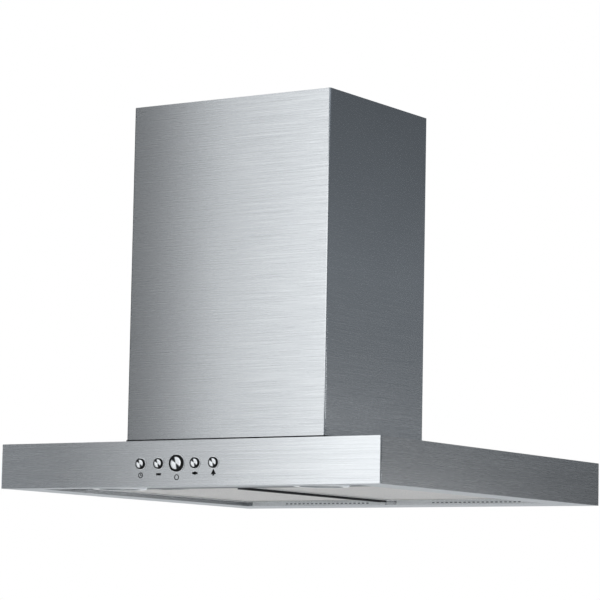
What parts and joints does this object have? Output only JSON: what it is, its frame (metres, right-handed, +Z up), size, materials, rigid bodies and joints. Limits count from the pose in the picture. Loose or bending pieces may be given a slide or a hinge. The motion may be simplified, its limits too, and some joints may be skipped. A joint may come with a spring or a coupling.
{
  "type": "chimney range hood",
  "caption": "Ceiling-hung kitchen hood: flat square canopy with push buttons, lamps and tilting grease filters under a telescopic rectangular chimney with a centrifugal blower.",
  "frame": {"origin": "middle of the ceiling plate's top face, where the hood is fixed to the ceiling", "axes": "+Z up, +X to the right and -Y out of the control face, towards the person at the controls"},
  "size_m": [0.6, 0.6032, 0.527],
  "materials": {
    "brushed_canopy": "brushed along the width",
    "brushed_chimney": "brushed along the width",
    "galvanised": "zinc coated sheet",
    "zinc": "zinc plated",
    "steel": "drawn bright",
    "screw_steel": "zinc plated",
    "trim_chrome": "polished",
    "button_chrome": "turned and plated",
    "lens_glass": "frosted",
    "cast_aluminium": "cast",
    "filter_aluminium": "mill finish",
    "fan_aluminium": "mill finish",
    "motor_paint": "satin",
    "black_plastic": "fine texture",
    "grey_plastic": "moulded",
    "white_plastic": "moulded",
    "board_green": "lacquered circuit board"
  },
  "bodies": {
    "ceiling_frame": {"ceiling_plate": "galvanised", "upper_frame_bars": "galvanised", "upper_chimney": "brushed_chimney", "hanger_screws": "screw_steel"},
    "hood": {"canopy_shell": "brushed_canopy", "front_fascia": "brushed_canopy", "lamp_panel": "brushed_canopy", "filter_centre_rail": "brushed_canopy", "filter_hinge_brackets": "zinc", "lamp_trim_left": "trim_chrome", "lamp_trim_right": "trim_chrome", "lamp_lens_left": "lens_glass", "lamp_lens_right": "lens_glass", "lamp_body_left": "cast_aluminium", "lamp_body_right": "cast_aluminium", "lamp_panel_screws": "screw_steel", "button_bezels": "black_plastic", "control_housing": "black_plastic", "control_board": "board_green", "push_switches": "black_plastic", "motor_box": "galvanised", "scroll_wrap": "galvanised", "scroll_side_front": "galvanised", "scroll_side_rear": "galvanised", "inlet_ring_front": "galvanised", "inlet_ring_rear": "galvanised", "motor": "motor_paint", "motor_spider": "zinc", "outlet_collar": "galvanised", "flap_spindle": "steel", "electronics_box": "galvanised", "electronics_lid": "galvanised", "cable_gland": "black_plastic", "capacitor": "white_plastic", "lower_chimney": "brushed_chimney", "chimney_rear_panel": "brushed_chimney", "chimney_screws": "screw_steel", "lower_frame_bars": "galvanised", "frame_screws": "screw_steel"},
    "filter_left": {"filter_frame_left": "filter_aluminium", "filter_mesh_left": "filter_aluminium", "filter_core_left": "filter_aluminium", "filter_hinge_rod_left": "steel", "latch_housing_left": "filter_aluminium"},
    "filter_right": {"filter_frame_right": "filter_aluminium", "filter_mesh_right": "filter_aluminium", "filter_core_right": "filter_aluminium", "filter_hinge_rod_right": "steel", "latch_housing_right": "filter_aluminium"},
    "latch_left": {"latch_slider_left": "grey_plastic"},
    "latch_right": {"latch_slider_right": "grey_plastic"},
    "wheel": {"fan_wheel": "fan_aluminium", "motor_shaft": "steel"},
    "flap_left": {"flap_left": "grey_plastic"},
    "flap_right": {"flap_right": "grey_plastic"},
    "button_timer": {"button_timer": "button_chrome"},
    "button_minus": {"button_minus": "button_chrome"},
    "button_power": {"button_power": "button_chrome"},
    "button_plus": {"button_plus": "button_chrome"},
    "button_light": {"button_light": "button_chrome"}
  },
  "joints": [
    {"name": "height_slide", "type": "slide", "parent": "ceiling_frame", "child": "hood", "axis": [0, 0, -1], "range_m": [0, 0.18]},
    {"name": "filter_left_hinge", "type": "hinge", "parent": "hood", "child": "filter_left", "pos_m": [-0.126, 0.3005, -0.5175], "axis": [1, 0, 0], "range_deg": [0, 75]},
    {"name": "filter_right_hinge", "type": "hinge", "parent": "hood", "child": "filter_right", "pos_m": [0.126, 0.3005, -0.5175], "axis": [1, 0, 0], "range_deg": [0, 75]},
    {"name": "latch_left_slide", "type": "slide", "parent": "filter_left", "child": "latch_left", "axis": [0, 1, 0], "range_m": [0, 0.007], "stiffness_N_per_m": 300, "springref_m": -0.004},
    {"name": "latch_right_slide", "type": "slide", "parent": "filter_right", "child": "latch_right", "axis": [0, 1, 0], "range_m": [0, 0.007], "stiffness_N_per_m": 300, "springref_m": -0.004},
    {"name": "wheel_spin", "type": "hinge", "parent": "hood", "child": "wheel", "pos_m": [-0.05806, 0, -0.36334], "axis": [0, 1, 0], "continuous": true},
    {"name": "flap_left_hinge", "type": "hinge", "parent": "hood", "child": "flap_left", "pos_m": [0, 0, -0.25187], "axis": [0, 1, 0], "range_deg": [0, 78]},
    {"name": "flap_right_hinge", "type": "hinge", "parent": "hood", "child": "flap_right", "pos_m": [0, 0, -0.25187], "axis": [0, -1, 0], "range_deg": [0, 78]},
    {"name": "button_timer_press", "type": "slide", "parent": "hood", "child": "button_timer", "axis": [0, 1, 0], "range_m": [0, 0.0012], "stiffness_N_per_m": 600, "springref_m": -0.001},
    {"name": "button_minus_press", "type": "slide", "parent": "hood", "child": "button_minus", "axis": [0, 1, 0], "range_m": [0, 0.0012], "stiffness_N_per_m": 600, "springref_m": -0.001},
    {"name": "button_power_press", "type": "slide", "parent": "hood", "child": "button_power", "axis": [0, 1, 0], "range_m": [0, 0.0012], "stiffness_N_per_m": 600, "springref_m": -0.001},
    {"name": "button_plus_press", "type": "slide", "parent": "hood", "child": "button_plus", "axis": [0, 1, 0], "range_m": [0, 0.0012], "stiffness_N_per_m": 600, "springref_m": -0.001},
    {"name": "button_light_press", "type": "slide", "parent": "hood", "child": "button_light", "axis": [0, 1, 0], "range_m": [0, 0.0012], "stiffness_N_per_m": 600, "springref_m": -0.001}
  ]
}
